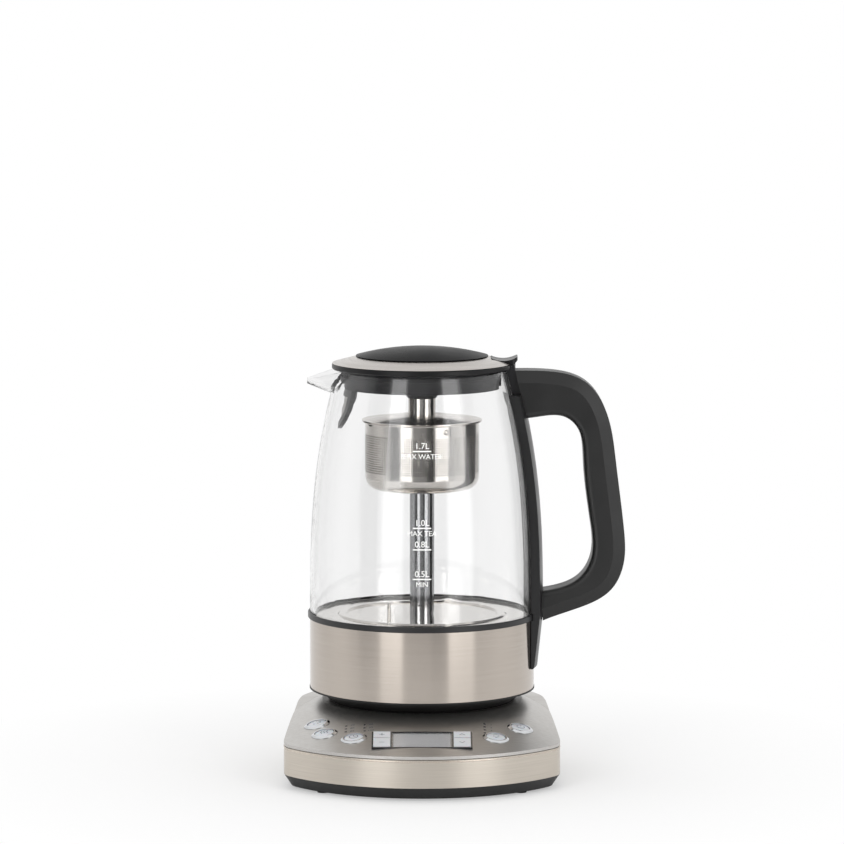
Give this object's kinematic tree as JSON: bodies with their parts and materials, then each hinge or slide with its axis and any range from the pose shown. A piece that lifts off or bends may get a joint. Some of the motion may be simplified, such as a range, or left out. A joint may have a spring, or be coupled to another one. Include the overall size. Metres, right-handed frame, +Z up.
{
  "type": "automatic tea maker",
  "caption": "Glass kettle with a steel heater band, a motor-lifted tea infuser and a lift-off lid, on a corded base with a sloping button panel and a display.",
  "frame": {"origin": "where the jug's vertical axis meets the flat underside of the base, 1.5 mm above the table", "axes": "+Z up along the jug's axis, -Y to the front of the control panel, +X to the handle, -X to the spout"},
  "size_m": [0.2257, 0.2215, 0.2816],
  "materials": {
    "top_plate_steel": "satin",
    "band_steel": "brushed",
    "polished_steel": "polished",
    "satin_steel": "satin",
    "chrome_trim": "polished",
    "black_satin": "satin",
    "black_gloss": "gloss",
    "black_plug": "matte",
    "pale_button": "gloss",
    "pale_key": "gloss",
    "clear_glass": "polished",
    "display_lens": "gloss",
    "display_grey": "matte",
    "clear_pipe": "gloss",
    "rubber_black": "matte",
    "silicone": "matte",
    "board_green": "matte",
    "switch_black": "matte",
    "brass_contact": "satin",
    "screw_steel": "satin",
    "motor_steel": "satin",
    "element_metal": "satin"
  },
  "bodies": {
    "base": {"base_top_plate": "top_plate_steel", "base_side_band": "band_steel", "base_bottom_cover": "black_satin", "base_feet": "rubber_black", "base_screws": "screw_steel", "cord_gland": "rubber_black", "control_board": "board_green", "button_switches": "switch_black", "button_bezels": "chrome_trim", "keypad_frame": "black_gloss", "display_window": "display_lens", "display_module": "display_grey", "indicator_leds": "clear_pipe", "connector_dish": "black_satin", "connector_body": "black_satin", "connector_contacts": "brass_contact"},
    "coupling_half": {"kettle_socket": "black_satin", "socket_contacts": "brass_contact"},
    "jug": {"glass_jug": "clear_glass", "jug_collar": "black_satin", "jug_seal": "silicone", "steel_band": "band_steel", "jug_base_cover": "black_satin", "heating_plate": "polished_steel", "heating_element": "element_metal", "temperature_probe": "polished_steel", "column_tube": "polished_steel", "column_bush": "black_satin", "lift_motor": "motor_steel", "handle_strap": "black_satin", "handle_shell": "black_satin", "handle_clip": "black_satin", "handle_screws": "screw_steel"},
    "spindle": {"lead_screw": "screw_steel"},
    "lift": {"lift_rod": "polished_steel", "lift_nut": "black_satin"},
    "basket": {"tea_basket": "polished_steel", "basket_sleeve": "polished_steel"},
    "basket_cover": {"infuser_cover": "satin_steel", "infuser_neck": "polished_steel", "infuser_knob": "black_satin", "neck_stop": "black_satin"},
    "lid": {"lid_rim": "black_satin", "lid_steel_ring": "satin_steel", "lid_dome": "black_gloss", "lid_plug": "black_plug", "lid_gasket": "silicone", "lid_screws": "screw_steel", "spout_filter_frame": "black_plug", "spout_filter_mesh": "satin_steel"},
    "button_1": {"round_button_1": "pale_button"},
    "button_2": {"round_button_2": "pale_button"},
    "button_3": {"round_button_3": "pale_button"},
    "button_4": {"round_button_4": "pale_button"},
    "button_5": {"round_button_5": "pale_button"},
    "key_1": {"panel_key_1": "pale_key"},
    "key_2": {"panel_key_2": "pale_key"},
    "key_3": {"panel_key_3": "pale_key"},
    "key_4": {"panel_key_4": "pale_key"}
  },
  "joints": [
    {"name": "kettle_lift", "type": "slide", "parent": "base", "child": "coupling_half", "axis": [0, 0, 1], "range_m": [0, 0.039]},
    {"name": "kettle_turn", "type": "hinge", "parent": "coupling_half", "child": "jug", "pos_m": [0, 0, 0.06], "axis": [0, 0, 1], "continuous": true},
    {"name": "rod_lift", "type": "slide", "parent": "jug", "child": "lift", "axis": [0, 0, 1], "range_m": [-0.06, 0]},
    {"name": "lead_screw_turn", "type": "hinge", "parent": "jug", "child": "spindle", "pos_m": [0, 0, 0.12], "axis": [0, 0, 1], "continuous": true},
    {"name": "lid_lift", "type": "slide", "parent": "jug", "child": "lid", "axis": [0, 0, 1], "range_m": [0, 0.157]},
    {"name": "basket_lift", "type": "slide", "parent": "lift", "child": "basket", "axis": [0, 0, 1], "range_m": [0, 0.108]},
    {"name": "cover_lift", "type": "slide", "parent": "basket", "child": "basket_cover", "axis": [0, 0, 1], "range_m": [0, 0.0324]},
    {"name": "press_button_1", "type": "slide", "parent": "base", "child": "button_1", "axis": [-0.2061, -0.1526, 0.9666], "range_m": [-0.0008, 0], "stiffness_N_per_m": 800},
    {"name": "press_button_2", "type": "slide", "parent": "base", "child": "button_2", "axis": [-0.1664, -0.1758, 0.9703], "range_m": [-0.0008, 0], "stiffness_N_per_m": 800},
    {"name": "press_button_3", "type": "slide", "parent": "base", "child": "button_3", "axis": [-0.1078, -0.1998, 0.9739], "range_m": [-0.0008, 0], "stiffness_N_per_m": 800},
    {"name": "press_button_4", "type": "slide", "parent": "base", "child": "button_4", "axis": [0.1178, -0.1965, 0.9734], "range_m": [-0.0008, 0], "stiffness_N_per_m": 800},
    {"name": "press_button_5", "type": "slide", "parent": "base", "child": "button_5", "axis": [0.18, -0.1685, 0.9691], "range_m": [-0.0008, 0], "stiffness_N_per_m": 800},
    {"name": "press_key_1", "type": "slide", "parent": "base", "child": "key_1", "axis": [0, -0.2165, 0.9763], "range_m": [-0.0008, 0], "stiffness_N_per_m": 800},
    {"name": "press_key_2", "type": "slide", "parent": "base", "child": "key_2", "axis": [0, -0.2165, 0.9763], "range_m": [-0.0008, 0], "stiffness_N_per_m": 800},
    {"name": "press_key_3", "type": "slide", "parent": "base", "child": "key_3", "axis": [0, -0.2165, 0.9763], "range_m": [-0.0008, 0], "stiffness_N_per_m": 800},
    {"name": "press_key_4", "type": "slide", "parent": "base", "child": "key_4", "axis": [0, -0.2165, 0.9763], "range_m": [-0.0008, 0], "stiffness_N_per_m": 800}
  ],
  "couplings": [
    {"joint": "lead_screw_turn", "follows": "rod_lift", "rad_per_m": 785.4},
    {"joint": "basket_lift", "follows": "lid_lift", "ratio": 0.6879},
    {"joint": "cover_lift", "follows": "lid_lift", "ratio": 0.20637}
  ]
}
